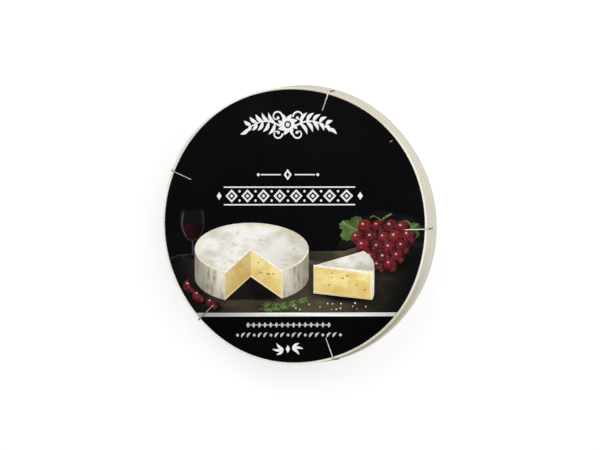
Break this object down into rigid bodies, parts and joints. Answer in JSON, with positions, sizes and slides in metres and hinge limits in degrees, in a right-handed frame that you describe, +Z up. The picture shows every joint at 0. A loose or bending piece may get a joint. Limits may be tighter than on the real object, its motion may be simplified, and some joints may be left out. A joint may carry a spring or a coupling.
{
  "type": "shut round wooden camembert cheese box",
  "caption": "Shut round box of thin poplar veneer for a soft cheese: a stapled hoop lid over a stapled base, with a printed paper disc on the lid.",
  "frame": {"origin": "under the middle of the box, on the plane that the base hoop rests on", "axes": "+Z up through the lid, +Y towards the upper side of the label, +X to the label's right"},
  "size_m": [0.1172, 0.1172, 0.0283],
  "materials": {
    "printed_paper": "satin printed paper, black field with a printed picture",
    "poplar_hoop": "bare peeled poplar veneer, fine grain round the hoop",
    "poplar_disc": "bare peeled poplar veneer, straight grain",
    "steel_wire": "drawn zinc-coated wire"
  },
  "bodies": {
    "root": {"lid_label": "printed_paper", "lid_disc": "poplar_disc", "lid_hoop": "poplar_hoop", "lid_staple_1": "steel_wire", "lid_staple_2": "steel_wire", "lid_staple_3": "steel_wire", "lid_staple_4": "steel_wire", "lid_staple_5": "steel_wire", "lid_stitch_1": "steel_wire", "lid_stitch_2": "steel_wire", "base_hoop": "poplar_hoop", "base_disc": "poplar_disc", "base_staple_1": "steel_wire", "base_staple_2": "steel_wire", "base_staple_3": "steel_wire", "base_staple_4": "steel_wire", "base_staple_5": "steel_wire", "base_stitch_1": "steel_wire", "base_stitch_2": "steel_wire", "pack_core": "poplar_disc"}
  },
  "joints": []
}
